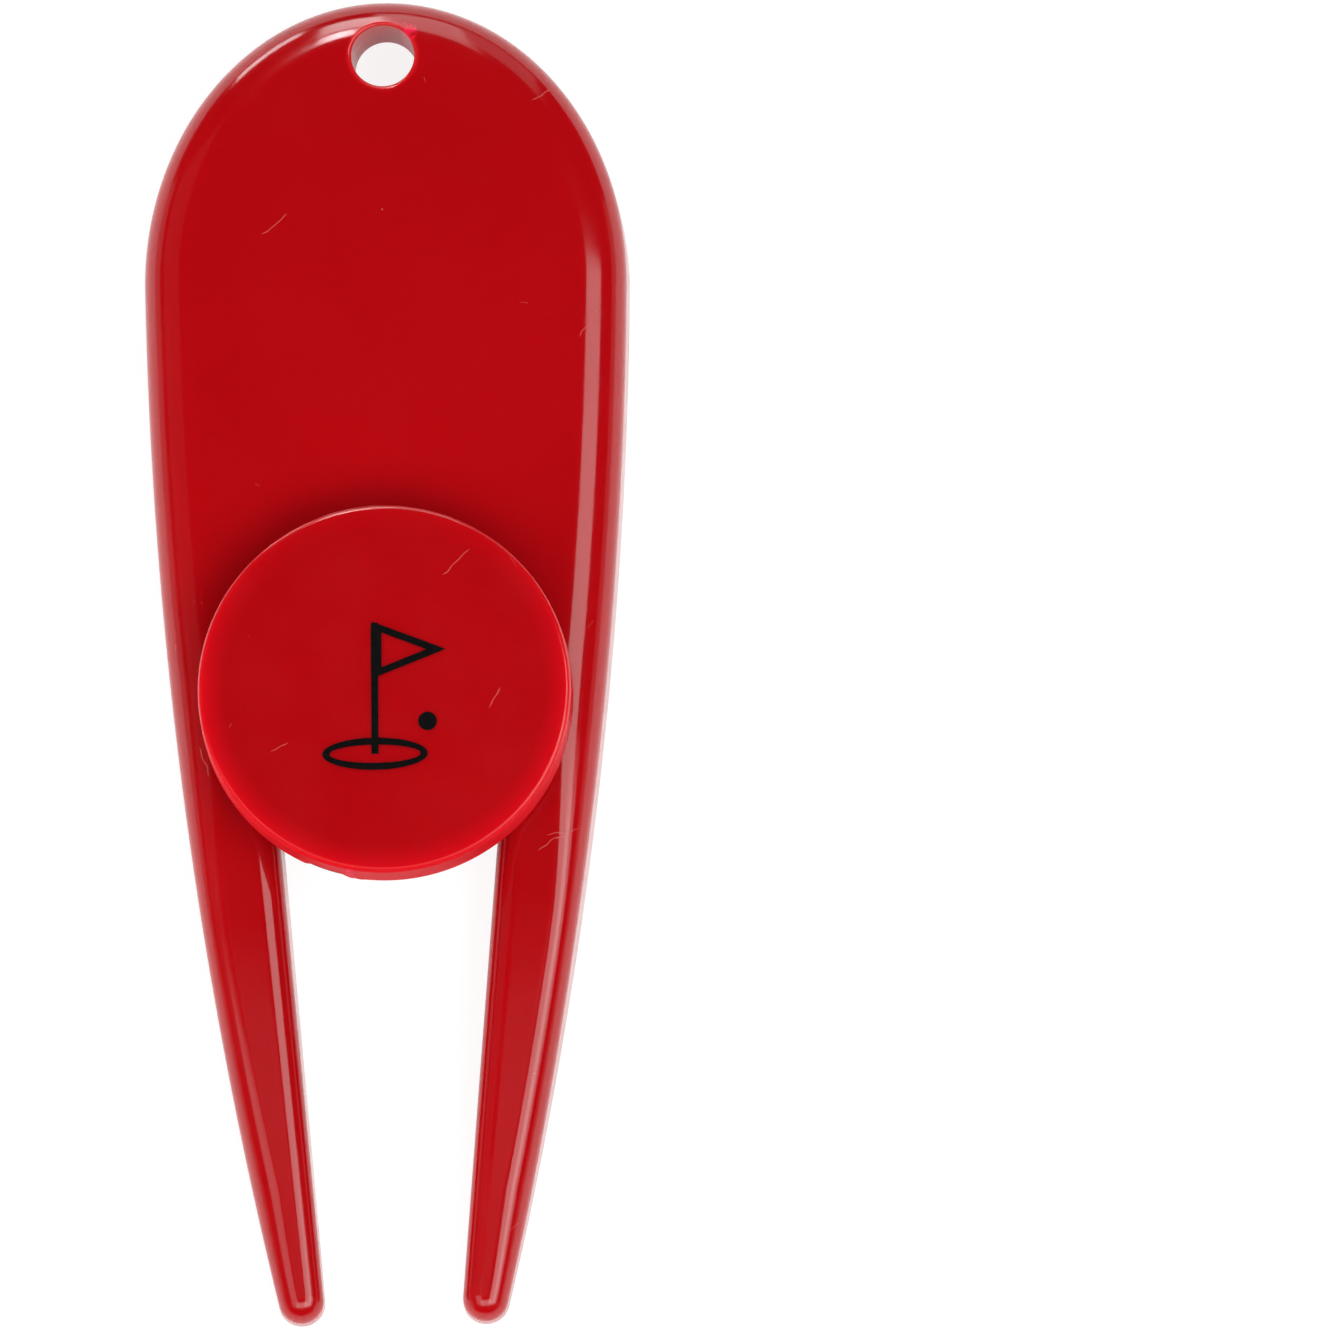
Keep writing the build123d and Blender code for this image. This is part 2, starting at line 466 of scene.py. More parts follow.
def round_hole_rings(shell, hole_y, radius, rim, top_z, top_normals, chamfer):
    """Rings down the wall of a hole through to the underside, with rounded or chamfered rims."""
    count = len(top_normals)
    circle = ring_of(0, 0, 1.0, count, 0.0)[:, :2]
    inwards = np.column_stack([-circle, np.zeros(count)])
    steps = np.radians([0, 90] if chamfer else [0, 15, 30, 45, 60, 75, 90])
    rings = []
    for a in steps:
        reach = radius + rim * (1 - math.sin(a))
        places = np.column_stack([circle * reach, top_z - rim * (1 - math.cos(a))])
        normals = top_normals * math.cos(a) + inwards * math.sin(a)
        rings.append((places, normals))
    for a in steps[::-1]:
        reach = radius + rim * (1 - math.sin(a))
        places = np.column_stack([circle * reach, np.full(count, rim * (1 - math.cos(a)))])
        normals = DOWN * math.cos(a) + inwards * math.sin(a)
        rings.append((places, normals))
    numbered = []
    for places, normals in rings:
        places = places + np.array([0, hole_y, 0])
        numbered.append(shell.add(places, normals))
    for upper, lower in zip(numbered[:-1], numbered[1:]):
        shell.bridge(upper, lower)
    return numbered[0], numbered[-1]


def fork_sides(shell, outline):
    """Rings from the underside's edge up the walls and onto the rounded top edge."""
    points, inward, shapes = outline
    reach, lower_share = shapes.T
    out = np.column_stack([-inward, np.zeros(len(inward))])
    rings = []
    rim_radius = bottom_radius(points[:, 1])
    for a in BOTTOM_EDGE_TILTS:
        inset = rim_radius * (1 - math.sin(a))
        z = rim_radius * (1 - math.cos(a))
        places = np.column_stack([points + inward * inset[:, None], z])
        rings.append(shell.add(places, out * math.sin(a) + DOWN * math.cos(a)))
    wall_top = top_height(points[:, 1]) - reach * edge_drop(0, lower_share)
    for share in WALL_SHARES:
        z = rim_radius + (wall_top - rim_radius) * share
        inset = WALL_DRAFT * (z - BOTTOM_EDGE_RADIUS)
        rings.append(shell.add(np.column_stack([points + inward * inset[:, None], z]), out))
    for angle in STEEP_TILTS:
        rings.append(shell.add(*edge_ring(outline, angle)))
    for below, above in zip(rings[:-1], rings[1:]):
        shell.bridge(below, above)
    return rings[0], rings[-1]


def fork_top(shell, outline, edge_start, hole_rims, holes):
    """The shallow part of the rounded edge, cut by the ring hole, and the top face."""
    _, hole_y, hole_reach = holes[0]
    loops = [(edge_start, True)]
    for angle in SHALLOW_TILTS:
        places, normals = edge_ring(outline, angle)
        spare = np.hypot(places[:, 0], places[:, 1] - hole_y) - hole_reach
        keep = spare > HOLE_CLEARANCE
        numbers = shell.add(places[keep], normals[keep])
        if keep.all():
            loops.append((numbers, True))
        else:
            # An open run of points: it starts and stops where the hole cuts the ring.
            kept_before = int(np.count_nonzero(keep[:np.argmin(keep)]))
            loops.append((numbers[kept_before:] + numbers[:kept_before], False))
    loops += [(rim, True) for rim in hole_rims]
    grid = loose_grid(places[:, :2], TOP_GRID_SPACING, TOP_GRID_CLEARANCE, holes)
    loose = shell.add(np.column_stack([grid, top_height(grid[:, 1])]), top_normal(grid[:, 1]))
    shell.fill(loops, loose, holes)


def fork_underside(shell, outline, edge_start, hole_rims, holes):
    """The flat underside, with the shallow rounds that ejector pins leave."""
    points, inward, _ = outline
    loops = [(edge_start, True)]
    loops += [(rim, True) for rim in hole_rims]
    marks = []
    for x, y, radius in EJECTOR_MARKS:
        for reach, z in ((radius, 0.0), (radius - EJECTOR_WALL_RUN, EJECTOR_DEPTH)):
            places = ring_of(x, y, reach, EJECTOR_STEPS, z)
            loops.append((shell.add(places, np.tile(DOWN, (EJECTOR_STEPS, 1))), True))
        marks.append((x, y, radius))
    flat_edge = points + inward * bottom_radius(points[:, 1])[:, None]
    grid = loose_grid(flat_edge, BOTTOM_GRID_SPACING, BOTTOM_GRID_CLEARANCE, holes + marks)
    places = np.column_stack([grid, np.zeros(len(grid))])
    loose = shell.add(places, np.tile(DOWN, (len(grid), 1)))
    shell.fill(loops, loose, holes, flip=True)


def build_fork():
    """The one-piece fork: walls, rounded edges, top, underside, ring hole and socket."""
    shell = Shell()
    outline = whole_outline()
    bottom_start, edge_start = fork_sides(shell, outline)

    hole_reach = RING_HOLE_RADIUS + HOLE_RIM_RADIUS
    rim = ring_of(0, RING_HOLE_Y, hole_reach, RING_HOLE_STEPS, 0.0)
    rim_z, rim_normals = surface_near_hole(outline, rim[:, :2])
    hole_top, hole_bottom = round_hole_rings(
        shell, RING_HOLE_Y, RING_HOLE_RADIUS, HOLE_RIM_RADIUS, rim_z, rim_normals, chamfer=False
    )
    socket_reach = SOCKET_RADIUS + SOCKET_LEAD_IN
    socket_y = ring_of(0, MARKER_Y, socket_reach, SOCKET_STEPS, 0.0)[:, 1]
    socket_z, socket_normals = top_height(socket_y), top_normal(socket_y)
    socket_top, socket_bottom = round_hole_rings(
        shell, MARKER_Y, SOCKET_RADIUS, SOCKET_LEAD_IN, socket_z, socket_normals, chamfer=True
    )
    holes = [(0, RING_HOLE_Y, hole_reach), (0, MARKER_Y, socket_reach)]

    fork_top(shell, outline, edge_start, (hole_top, socket_top), holes)
    fork_underside(shell, outline, bottom_start, (hole_bottom, socket_bottom), holes)
    return shell.make("fork_shell")


# ---- ball marker -----------------------------------------------------------------------------

def disc_profile(face, base):
    """(radius, height, outward share, upward share) down the disc, from its face to its back."""
    flare = math.atan2(BASE_RADIUS - FACE_RADIUS, DISC_THICKNESS)
    rows = [(radius, face, 0.0, 1.0) for radius in FACE_RINGS]
    for a in np.radians(np.linspace(0, 90, 9)):
        reach = FACE_RADIUS - RIM_RADIUS * (1 - math.sin(a))
        rows.append((reach, face - RIM_RADIUS * (1 - math.cos(a)), math.sin(a), math.cos(a)))
    wall_top = face - RIM_RADIUS
    wall_end = base + BASE_RIM_RADIUS
    for share in (0.33, 0.66, 1.0):
        z = wall_top + (wall_end - wall_top) * share
        radius = FACE_RADIUS + (BASE_RADIUS - FACE_RADIUS) * share
        rows.append((radius, z, math.cos(flare), math.sin(flare)))
    for a in np.radians([30, 60, 90]):
        reach = BASE_RADIUS - BASE_RIM_RADIUS * (1 - math.cos(a))
        rows.append((reach, wall_end - BASE_RIM_RADIUS * math.sin(a), math.cos(a), -math.sin(a)))
    rows += [(radius, base, 0.0, -1.0) for radius in BACK_RINGS]
    return rows


def peg_profile(base):
    """The same, down the collar and the peg to the peg's end."""
    seat = base - COLLAR_HEIGHT
    chamfer_top = PEG_END_Z + PEG_CHAMFER
    chamfer_end = PEG_RADIUS - PEG_CHAMFER
    slant = math.sqrt(0.5)
    return [
        (COLLAR_RADIUS + COLLAR_FILLET, base, 0.0, -1.0),
        (COLLAR_RADIUS, base - COLLAR_FILLET_DROP, 1.0, 0.0),
        (COLLAR_RADIUS, seat + COLLAR_EDGE, 1.0, 0.0),
        (COLLAR_RADIUS - COLLAR_EDGE, seat, 0.0, -1.0),
        (PEG_RADIUS + PEG_FILLET, seat, 0.0, -1.0),
        (PEG_RADIUS, seat - PEG_FILLET, 1.0, 0.0),
        (PEG_RADIUS, chamfer_top, 1.0, 0.0),
        (PEG_RADIUS - PEG_EDGE, chamfer_top - PEG_EDGE, slant, -slant),
        (chamfer_end + PEG_EDGE, PEG_END_Z + PEG_EDGE, slant, -slant),
        (chamfer_end, PEG_END_Z, 0.0, -1.0),
        (PEG_END_RING, PEG_END_Z, 0.0, -1.0),
    ]


def gate_mark(circle, radius, z):
    """Change in the rim's radius round the disc where the moulding gate was cut off."""
    base = MARKER_FACE_Z - DISC_THICKNESS
    slack = 0.01
    if radius < FACE_RADIUS - slack or z < base - slack:
        return np.zeros(len(circle))
    x = circle[:, 0] * radius
    cut = smoothstep(GATE_FROM_X, GATE_FROM_X + GATE_EASE, x)
    cut = cut * smoothstep(GATE_TO_X, GATE_TO_X - GATE_EASE, x)
    nub = np.exp(-((x - NUB_X) / NUB_WIDTH) ** 2)
    low_on_wall = smoothstep(MARKER_FACE_Z - GATE_BELOW_FACE, base + GATE_ABOVE_BASE, z)
    mark = (NUB_HEIGHT * nub - GATE_CUT * cut) * low_on_wall
    return np.where(circle[:, 1] < 0, mark, 0.0)


def build_marker():
    """The marker's disc, collar and peg as one surface of revolution."""
    shell = Shell()
    count = DISC_STEPS
    circle = ring_of(0, 0, 1.0, count, 0.0)[:, :2]
    base = MARKER_FACE_Z - DISC_THICKNESS
    rings = []
    for radius, z, outward, upward in disc_profile(MARKER_FACE_Z, base) + peg_profile(base):
        reach = radius + gate_mark(circle, radius, z)
        places = np.column_stack([circle * reach[:, None], np.full(count, z)])
        places[:, 1] += MARKER_Y
        normals = np.column_stack([circle * outward, np.full(count, upward)])
        rings.append(shell.add(places, normals))
    for upper, lower in zip(rings[:-1], rings[1:]):
        shell.bridge(lower, upper)
    top = shell.add([(0, MARKER_Y, MARKER_FACE_Z)], [(0, 0, 1)])[0]
    bottom = shell.add([(0, MARKER_Y, PEG_END_Z)], [(0, 0, -1)])[0]
    for i in range(count):
        j = (i + 1) % count
        shell.faces.append((top, rings[0][i], rings[0][j]))
        shell.faces.append((bottom, rings[-1][j], rings[-1][i]))
    return shell.make("marker_disc")


# ---- materials -------------------------------------------------------------------------------

MARK_COLOUR = (0.75, 0.22, 0.2, 1.0)        # scratched or dusty plastic
FLAW_COLOUR = (0.72, 0.01, 0.055, 1.0)      # thin flash left by the mould
INK_DARK = (0.0012, 0.0012, 0.0012, 1.0)
INK_LESS_DARK = (0.003, 0.0026, 0.0026, 1.0)
WHITE = (1.0, 1.0, 1.0, 1.0)
HAIR_WIDTH = 0.045              # half the width of a scratch
HAIR_STRENGTH = 0.6
MARK_TINT = 0.3                 # how far the marks pale the plastic,
MARK_ROUGHNESS = 0.28           # and how much they roughen it
HAZE_ROUGHNESS = 0.07           # the same for the haze of handling
FULL_SHINE = 0.5


class Nodes:
    """Short helpers over one material's node tree."""

    def __init__(self, name):
        self.material = bpy.data.materials.new(name)
        self.material.use_nodes = True
        self.tree = self.material.node_tree
        self.tree.nodes.clear()
        self.output = self.tree.nodes.new("ShaderNodeOutputMaterial")

    def new(self, kind, inputs=None, **settings):
        """A node with settings, and inputs given as values or as other nodes' outputs."""
        node = self.tree.nodes.new(kind)
        for key, value in settings.items():
            setattr(node, key, value)
        for key, value in (inputs or {}).items():
            if isinstance(value, bpy.types.NodeSocket):
                self.tree.links.new(value, node.inputs[key])
            else:
                node.inputs[key].default_value = value
        return node

    def vector(self, operation, a, b=(0.0, 0.0, 0.0)):
        return self.new("ShaderNodeVectorMath", {0: a, 1: b}, operation=operation).outputs

    def millimetres(self):
        """The piece's own coordinates, in millimetres."""
        place = self.new("ShaderNodeTexCoord").outputs["Object"]
        return self.vector("MULTIPLY", place, (1 / MM,) * 3)["Vector"]

    def noise(self, place, scale, detail=2.0, roughness=0.5):
        inputs = {"Vector": place, "Scale": scale, "Detail": detail, "Roughness": roughness}
        return self.new("ShaderNodeTexNoise", inputs).outputs["Fac"]

    def remap(self, value, low, high, to_low=0.0, to_high=1.0):
        inputs = {0: value, 1: low, 2: high, 3: to_low, 4: to_high}
        return self.new("ShaderNodeMapRange", inputs).outputs[0]

    def math(self, operation, a, b=0.0):
        return self.new("ShaderNodeMath", {0: a, 1: b}, operation=operation).outputs[0]

    def dot(self, a, b):
        return self.vector("DOT_PRODUCT", a, b)["Value"]

    def distance_in_plan(self, place, x, y):
        """Distance from (x, y) as seen from above, whatever the height."""
        offset = self.vector("SUBTRACT", place, (x, y, 0))["Vector"]
        level = self.vector("MULTIPLY", offset, (1, 1, 0))["Vector"]
        return self.vector("LENGTH", level)["Value"]

    def mix(self, share, a, b):
        node = self.new("ShaderNodeMix", data_type="RGBA")
        for index, value in ((0, share), (6, a), (7, b)):
            if isinstance(value, bpy.types.NodeSocket):
                self.tree.links.new(value, node.inputs[index])
            else:
                node.inputs[index].default_value = value
        return node.outputs[2]

    def surface(self, inputs):
        """Puts a principled shader on the material and returns the material."""
        shader = self.new("ShaderNodeBsdfPrincipled", inputs)
        self.tree.links.new(shader.outputs[0], self.output.inputs["Surface"])
        return self.material


def hair_scratches(nodes, place, cell, width, keep):
    """Mask of short, bent hairline marks: pieces of warped cell borders."""
    noise = nodes.new("ShaderNodeTexNoise", {"Vector": place, "Scale": 0.35, "Detail": 1.0})
    bend = {0: noise.outputs["Color"], 1: (2.5, 2.5, 2.5), 2: place}
    warped = nodes.new("ShaderNodeVectorMath", bend, operation="MULTIPLY_ADD").outputs[0]
    cells = {"Vector": warped, "Scale": 1 / cell}
    borders = nodes.new("ShaderNodeTexVoronoi", cells, feature="DISTANCE_TO_EDGE")
    line = nodes.remap(borders.outputs["Distance"], width / cell, 0.0)
    patches = nodes.noise(place, 0.5, 2.0)
    shown = nodes.remap(patches, keep, keep + 0.02)
    return nodes.math("MULTIPLY", line, shown)


def stroke(nodes, place, start, end, width):
    """Mask of one slightly wandering hairline on the top face, from start to end."""
    start, end = Vector((*start, 0)), Vector((*end, 0))
    along = (end - start).normalized()
    aside = Vector((-along.y, along.x, 0))
    flat = nodes.vector("SUBTRACT", place, start)["Vector"]
    wander = nodes.remap(nodes.noise(place, 0.9, 1.0), 0.0, 1.0, -0.25, 0.25)
    reach = nodes.dot(flat, along)
    offset = nodes.math("ADD", nodes.dot(flat, aside), wander)
    line = nodes.remap(nodes.math("ABSOLUTE", offset), width, width * 0.4)
    length = (end - start).length
    middle = nodes.math("ABSOLUTE", nodes.math("SUBTRACT", reach, length / 2))
    ends = nodes.remap(middle, length / 2, length / 2 - 0.3)
    return nodes.math("MULTIPLY", line, ends)


def patch(nodes, place, x, y, radius):
    """Mask of one small ragged spot on the top face."""
    gap = nodes.distance_in_plan(place, x, y)
    ragged = nodes.remap(nodes.noise(place, 3.6, 3.0), 0.3, 0.7, -0.35, 0.35)
    return nodes.remap(nodes.math("ADD", gap, ragged), radius, radius * 0.7)


def specks(nodes, place, spacing, radius, keep):
    """Mask of tiny dust specks: a few of a grid of scattered points."""
    points = nodes.new("ShaderNodeTexVoronoi", {"Vector": place, "Scale": 1 / spacing})
    dot = nodes.remap(points.outputs["Distance"], radius / spacing, radius / spacing * 0.4)
    chance = nodes.new("ShaderNodeSeparateColor", {0: points.outputs["Color"]}).outputs[0]
    shown = nodes.math("GREATER_THAN", chance, keep)
    return nodes.math("MULTIPLY", dot, shown)


def plastic_colour(nodes, place, colour, deep_colour, glow, flaw):
    """Slow random drift of tone, a painted glow inside thin rims, and the pink of one moulding
    mark.
    """
    drift = nodes.noise(place, 0.06, 3.0)
    base = nodes.mix(nodes.remap(drift, 0.35, 0.65), deep_colour, colour)
    # Painted glow: a band inside the rim is painted brighter red, standing in for light shining
    # through the thin edge, and it fades towards +Y.
    glow_y, inner, outer, fade, painted_glow_colour = glow
    band = nodes.remap(nodes.distance_in_plan(place, 0, glow_y), inner, outer)
    along_tool = nodes.dot(place, (0, 1, 0))
    away = nodes.remap(along_tool, glow_y, glow_y + fade, 1.0, 0.15)
    base = nodes.mix(nodes.math("MULTIPLY", band, away), base, painted_glow_colour)
    return nodes.mix(patch(nodes, place, *flaw), base, FLAW_COLOUR)


def plastic_marks(nodes, place, hair_keep, strokes):
    """Mask of everything that handling left: hairs, specks of dust and single scratches."""
    hairs = hair_scratches(nodes, place, cell=9.0, width=HAIR_WIDTH, keep=hair_keep)
    dust = specks(nodes, place, spacing=2.4, radius=0.09, keep=0.93)
    marks = nodes.math("MAXIMUM", nodes.math("MULTIPLY", hairs, HAIR_STRENGTH), dust)
    for start, end in strokes:
        marks = nodes.math("MAXIMUM", marks, stroke(nodes, place, start, end, HAIR_WIDTH))
    return marks


def plastic_relief(nodes, place, marks):
    """Bumps of the marks, of the gloss skin's fine peel and of the slow flow of the moulding."""
    peel = nodes.math("MULTIPLY", nodes.noise(place, 1.6, 2.0), 0.5)
    flow = nodes.math("MULTIPLY", nodes.noise(place, 0.12, 1.0), 6.0)
    height = nodes.math("MULTIPLY", marks, 0.6)
    height = nodes.math("ADD", nodes.math("ADD", height, peel), flow)
    bump = {"Strength": 0.5, "Distance": 0.004 * MM, "Height": height}
    return nodes.new("ShaderNodeBump", bump).outputs[0]


def moulded_plastic(
    name, colour, deep_colour, roughness, gate_side_dulling, scatter, hair_keep, strokes, glow, flaw
):
    """Gloss injection-moulded plastic with soft shade drift, handling haze, hairs and specks.

    gate_side_dulling is extra roughness, and lost shine, on walls that face the prongs.
    A greater hair_keep leaves fewer hairs.  strokes are (start, end) places of single
    glow is (y, inner radius, outer radius, fade, colour) of a painted glow: a band round a rim
    painted brighter red, standing in for light through the thin edge; it fades over fade
    millimetres past the centre.
    flaw is (x, y, radius) of a small ragged pink moulding mark."""
    nodes = Nodes(name)
    place = nodes.millimetres()
    base = plastic_colour(nodes, place, colour, deep_colour, glow, flaw)
    marks = plastic_marks(nodes, place, hair_keep, strokes)
    base = nodes.mix(nodes.math("MULTIPLY", marks, MARK_TINT), base, MARK_COLOUR)

    haze = nodes.noise(place, 0.22, 4.0, 0.6)
    rough = nodes.remap(haze, 0.35, 0.75, roughness, roughness + HAZE_ROUGHNESS)
    rough = nodes.math("ADD", rough, nodes.math("MULTIPLY", marks, MARK_ROUGHNESS))
    facing = nodes.new("ShaderNodeNewGeometry").outputs["Normal"]
    gate_side = nodes.remap(nodes.dot(facing, (0, -1, 0)), 0.08, 0.45)
    rough = nodes.math("ADD", rough, nodes.math("MULTIPLY", gate_side, gate_side_dulling))
    shine = nodes.remap(gate_side, 0.0, 1.0, FULL_SHINE, FULL_SHINE - gate_side_dulling)
    return nodes.surface({
        "Base Color": base,
        "Roughness": rough,
        "IOR": 1.5,
        "Specular IOR Level": shine,
        "Normal": plastic_relief(nodes, place, marks),
        "Subsurface Weight": scatter,
        "Subsurface Radius": (1.0, 0.12, 0.1),
        "Subsurface Scale": 2.0 * MM,
    })


def pad_print_ink():
    """Near-black print ink, a little uneven, with a soft sheen."""
    nodes = Nodes("print_ink")
    place = nodes.millimetres()
    mottle = nodes.noise(place, 3.0, 4.0)
    bump = {"Strength": 0.4, "Distance": 0.005 * MM, "Height": mottle}
    return nodes.surface({
        "Base Color": nodes.mix(nodes.remap(mottle, 0.3, 0.7), INK_DARK, INK_LESS_DARK),
        "Roughness": nodes.remap(mottle, 0.3, 0.7, 0.4, 0.52),
        "IOR": 1.45,
        "Specular IOR Level": 0.08,
        "Normal": nodes.new("ShaderNodeBump", bump).outputs[0],
    })


def floor_paper():
    """Plain white sweep, matt.  A little glow keeps it pale; the camera sees more of that glow."""
    nodes = Nodes("floor_paper")
    seen = nodes.new("ShaderNodeLightPath").outputs["Is Camera Ray"]
    grey_as_lit, grey_as_seen = (0.75, 0.75, 0.75, 1.0), (0.2, 0.2, 0.2, 1.0)
    glow_as_lit, glow_as_seen = 0.35, 0.87
    return nodes.surface({
        "Base Color": nodes.mix(seen, grey_as_lit, grey_as_seen),
        "Roughness": 0.9,
        "Specular IOR Level": 0.0,
        "Emission Color": WHITE,
        "Emission Strength": nodes.remap(seen, 0.0, 1.0, glow_as_lit, glow_as_seen),
    })


# ---- the object ------------------------------------------------------------------------------

FORK_STROKES = (                # start and end of each single scratch
    ((9.6, -13.2), (12.4, -11.6)),
    ((10.2, -12.2), (11.5, -12.0)),
    ((12.6, 20.4), (14.0, 22.6)),
    ((9.6, 36.2), (11.0, 37.0)),
    ((-8.0, 27.5), (-6.2, 28.9)),
    ((-12.2, -6.0), (-11.5, -8.1)),
)
MARKER_STROKES = (
    ((-7.4, -7.2), (-6.2, -6.5)),
    ((3.8, 4.2), (5.6, 6.0)),
    ((6.8, -4.6), (7.5, -3.1)),
)

# Painted glows: bands painted brighter red inside the ring hole's rim and the disc's rim, standing
# in for light shining through the thin plastic there.
RING_HOLE_PAINTED_GLOW = (              # y, inner and outer radius, fade, colour
    RING_HOLE_Y, RING_HOLE_RADIUS + 0.4, RING_HOLE_RADIUS + 0.1, 99.0, (0.55, 0.008, 0.012, 1)
)
DISC_RIM_PAINTED_GLOW = (MARKER_Y, FACE_RADIUS - 1.7, FACE_RADIUS - 0.2, 11.0, (0.56, 0.002, 0.008, 1))

fork_shell = build_fork()
fork_shell.data.materials.append(
    moulded_plastic(
        "body_plastic",
        colour=(0.41, 0.0018, 0.0044, 1),
        deep_colour=(0.385, 0.0015, 0.0039, 1),
        roughness=0.09,
        gate_side_dulling=0.05,
        scatter=0.55,
        hair_keep=0.66,
        strokes=FORK_STROKES,
        glow=RING_HOLE_PAINTED_GLOW,
        flaw=(1.68, RING_HOLE_Y + 1.55, 0.5),
    )
)
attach(fork_shell, "fork")
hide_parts("tool_body")

marker_disc = build_marker()
marker_disc.data.materials.append(
    moulded_plastic(
        "marker_plastic",
        colour=(0.425, 0.0011, 0.0038, 1),
        deep_colour=(0.4, 0.0009, 0.0033, 1),
        roughness=0.16,
        gate_side_dulling=0.38,
        scatter=0.8,
        hair_keep=0.68,
        strokes=MARKER_STROKES,
        glow=DISC_RIM_PAINTED_GLOW,
        flaw=(-2.4, MARKER_Y - 12.1, 0.35),
    )
)
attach(marker_disc, "marker")
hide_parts("ball_marker")

marker_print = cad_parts["marker_print"]
marker_print.data.materials.clear()
marker_print.data.materials.append(pad_print_ink())


# ---- studio ----------------------------------------------------------------------------------

FLOOR_RADIUS = 3000.0
FLOOR_DROP = 0.02               # keeps the floor from lying in the tool's underside
FLOOR_STEPS = 64
PANEL_DISTANCE = 700.0          # from the tool to every softbox
RIGHT = 1
LEFT = -1
WORLD_BRIGHTNESS = 0.02


def level_disc(name, radius, count, material):
    """A flat round floor, finer in the middle."""
    shell = Shell()
    centre = shell.add([(0, 0, 0)], [(0, 0, 1)])[0]
    previous = None
    for reach in (radius * 0.05, radius * 0.2, radius):
        ring = shell.add(ring_of(0, 0, reach, count, 0.0), np.tile([0, 0, 1.0], (count, 1)))
        if previous is None:
            shell.faces += [(centre, ring[i], ring[(i + 1) % count]) for i in range(count)]
        else:
            shell.bridge(ring, previous)
        previous = ring
    obj = shell.make(name)
    obj.data.materials.append(material)
    return obj


def panel(name, near_edge, far_edge, radiance):
    """A rectangular light panel facing the tool, from two of its opposite edges.

    Each edge is (start, end), and the second runs beside the first.  radiance is how bright the
    panel looks, whatever its size."""
    corners = [Vector(corner) * MM for corner in (*near_edge, *far_edge)]
    middle = sum(corners, Vector()) / 4
    along = corners[1] - corners[0]
    across = (corners[2] + corners[3]) / 2 - (corners[0] + corners[1]) / 2
    data = bpy.data.lights.new(name, "AREA")
    data.shape = "RECTANGLE"
    data.size = along.length
    data.size_y = across.length
    data.energy = radiance * math.pi * along.length * across.length
    light = bpy.data.objects.new(name, data)
    bpy.context.scene.collection.objects.link(light)
    normal = along.cross(across).normalized()
    if normal.dot(middle) < 0:
        normal = -normal
    side = along.normalized()
    facing = Matrix((side, normal.cross(side), normal)).transposed()
    light.matrix_world = Matrix.Translation(middle) @ facing.to_4x4()
    return light


def side_panel(name, side, low_angle, high_angle, y_from, y_to, radiance):
    """A long panel beside the tool, between two heights given as angles above the floor."""
    edges = []
    for angle in (low_angle, high_angle):
        x = side * PANEL_DISTANCE * math.cos(math.radians(angle))
        z = PANEL_DISTANCE * math.sin(math.radians(angle))
        edges.append(((x, y_from, z), (x, y_to, z)))
    return panel(name, edges[0], edges[1], radiance)


def end_panel(name, low_angle, high_angle, turn_from, turn_to, radiance):
    """A panel round from the tool's end, between two heights and two turns from +X."""
    middle = math.radians((turn_from + turn_to) / 2)
    half_width = PANEL_DISTANCE * math.tan(math.radians(turn_to - turn_from) / 2)
    aside = Vector((-math.sin(middle), math.cos(middle), 0))
    edges = []
    for angle in (low_angle, high_angle):
        level = math.cos(math.radians(angle))
        place = Vector((math.cos(middle) * level, math.sin(middle) * level, 0)) * PANEL_DISTANCE
        place.z = PANEL_DISTANCE * math.sin(math.radians(angle))
        edges.append((place - aside * half_width * level, place + aside * half_width * level))
    return panel(name, edges[0], edges[1], radiance)


floor = level_disc("floor", FLOOR_RADIUS, FLOOR_STEPS, floor_paper())
floor.location.z = -FLOOR_DROP * MM

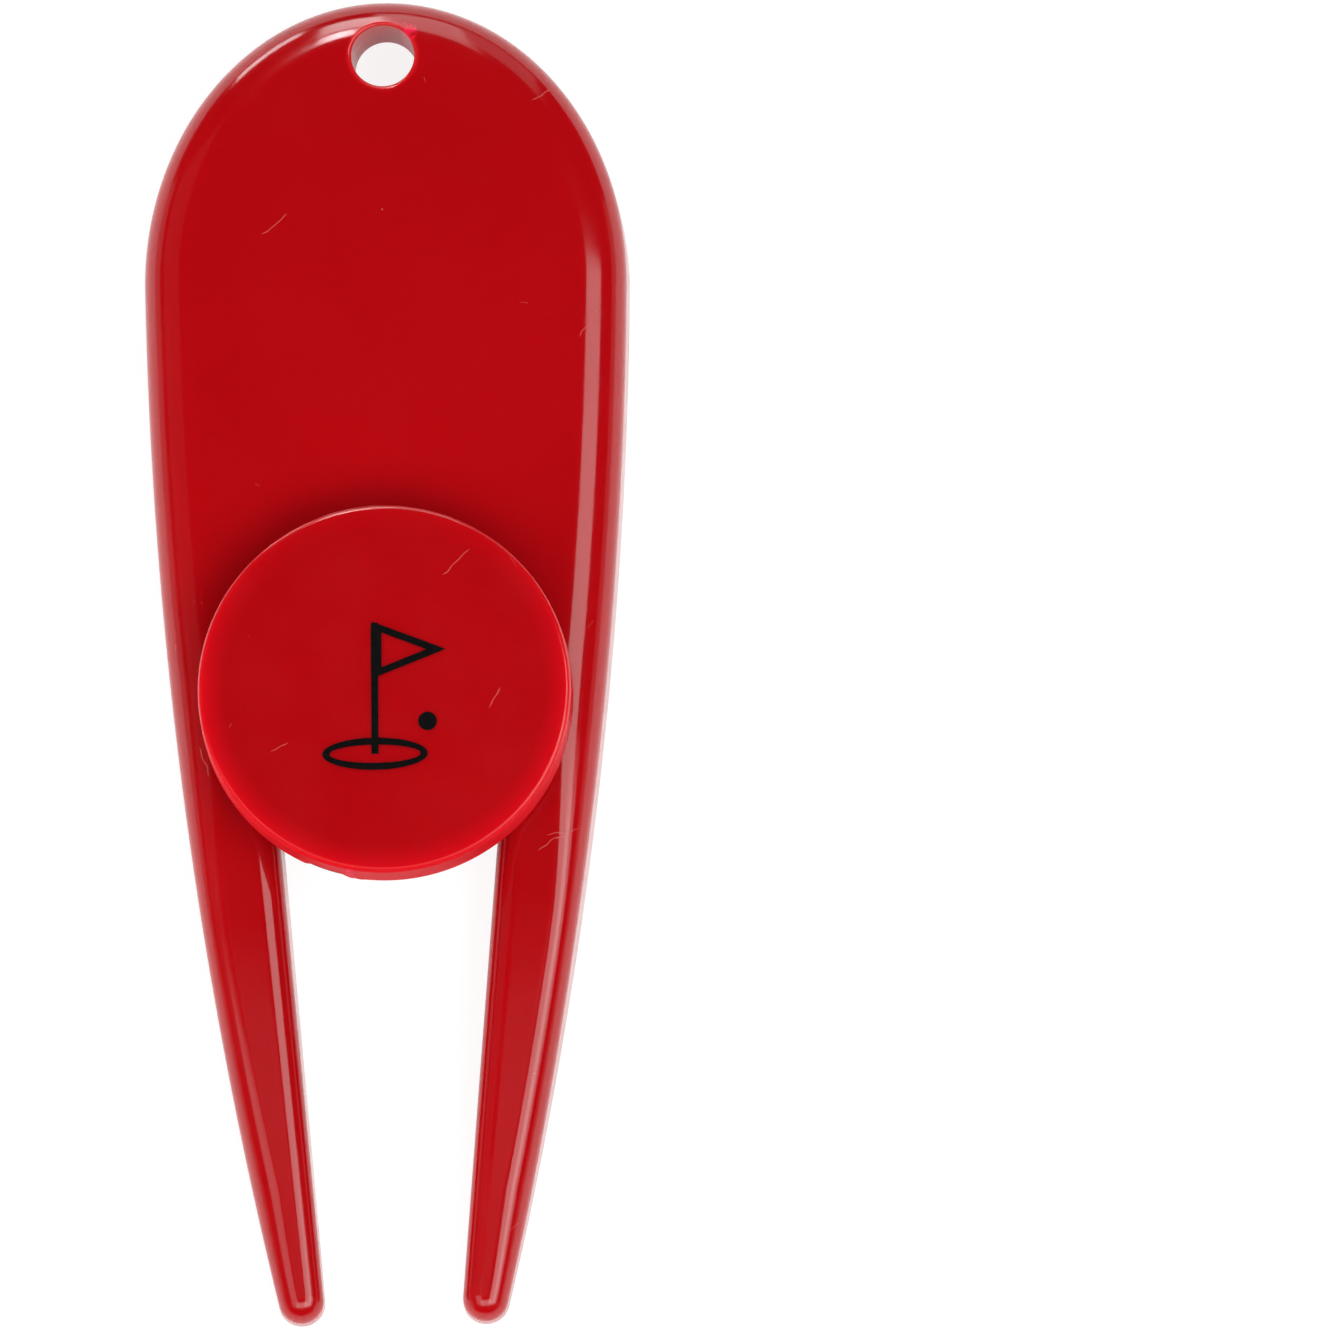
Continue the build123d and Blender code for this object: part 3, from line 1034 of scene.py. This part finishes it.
for settings in (               # name, side, low and high angle, from y, to y, radiance
    ("right_softbox", RIGHT, 40, 72, -600, 180, 3.2),
    ("right_strip", RIGHT, 30, 54, -500, -5, 2.4),
    ("right_low", RIGHT, 1, 12, -600, 350, 0.4),
    ("left_softbox", LEFT, 44, 76, -650, -60, 1.5),
    ("left_fill", LEFT, 25, 60, -100, 400, 0.12),
    ("left_low", LEFT, 1, 14, -600, 400, 0.5),
):
    side_panel(*settings)
end_panel("key", 40, 66, -112, -55, 3.05)
panel("prong_glow", ((-140, -75, 700), (140, -75, 700)), ((-140, 0, 700), (140, 0, 700)), 0.35)
for settings in (               # name, low and high angle, from turn, to turn, radiance
    ("back_softbox", 6, 42, 74, 94, 2.4),
    ("back_side", 4, 32, 54, 74, 0.7),
    ("back_glow", 14, 36, 93, 107, 7.0),
):
    end_panel(*settings)

# These lamps are small and bright: only their reflections show.
for highlight in (
    end_panel("back_lamp", 39, 52, 100, 107, 22.0),
    end_panel("back_streak", 3, 12, 112, 128, 9.0),
):
    highlight.visible_diffuse = False

# And this one warms the left walls without a reflection of its own.
left_wash = side_panel("left_wash", LEFT, 4, 34, -600, 350, 3.0)
left_wash.visible_glossy = False

world = bpy.data.worlds.new("studio")
bpy.context.scene.world = world
world.use_nodes = True
background = world.node_tree.nodes["Background"]
background.inputs["Color"].default_value = WHITE
background.inputs["Strength"].default_value = WORLD_BRIGHTNESS

# ---- camera: nearly straight down, a little from the prongs' side ----------------------------

CAMERA_DISTANCE = 1400.0
CAMERA_TILT = 10.3              # degrees from straight down, towards the prongs
CAMERA_SIDE_TILT = 2.0          # degrees towards +X
CAMERA_ROLL = -0.86             # degrees about the line of sight
FRAME_WIDTH = 86.1              # millimetres across the picture at the tool
PICTURE_CENTRE = (17.82, -0.44, 2.0)        # where the camera looks
SENSOR = 36.0
NEAREST = 0.01                  # the camera sees from here to FARTHEST, in metres
FARTHEST = 20.0

camera_data = bpy.data.cameras.new("camera")
camera = bpy.data.objects.new("camera", camera_data)
bpy.context.scene.collection.objects.link(camera)
bpy.context.scene.camera = camera
camera_data.sensor_width = SENSOR
camera_data.lens = SENSOR * CAMERA_DISTANCE / FRAME_WIDTH
camera_data.clip_start = NEAREST
camera_data.clip_end = FARTHEST
turn = (
    Matrix.Rotation(math.radians(CAMERA_TILT), 4, "X")
    @ Matrix.Rotation(math.radians(CAMERA_SIDE_TILT), 4, "Y")
    @ Matrix.Rotation(math.radians(CAMERA_ROLL), 4, "Z")
)
to_picture_centre = Matrix.Translation(Vector(PICTURE_CENTRE) * MM)
back_off = Matrix.Translation((0, 0, CAMERA_DISTANCE * MM))
camera.matrix_world = to_picture_centre @ turn @ back_off

bpy.context.scene.view_settings.view_transform = "Standard"
bpy.context.scene.view_settings.look = "None"
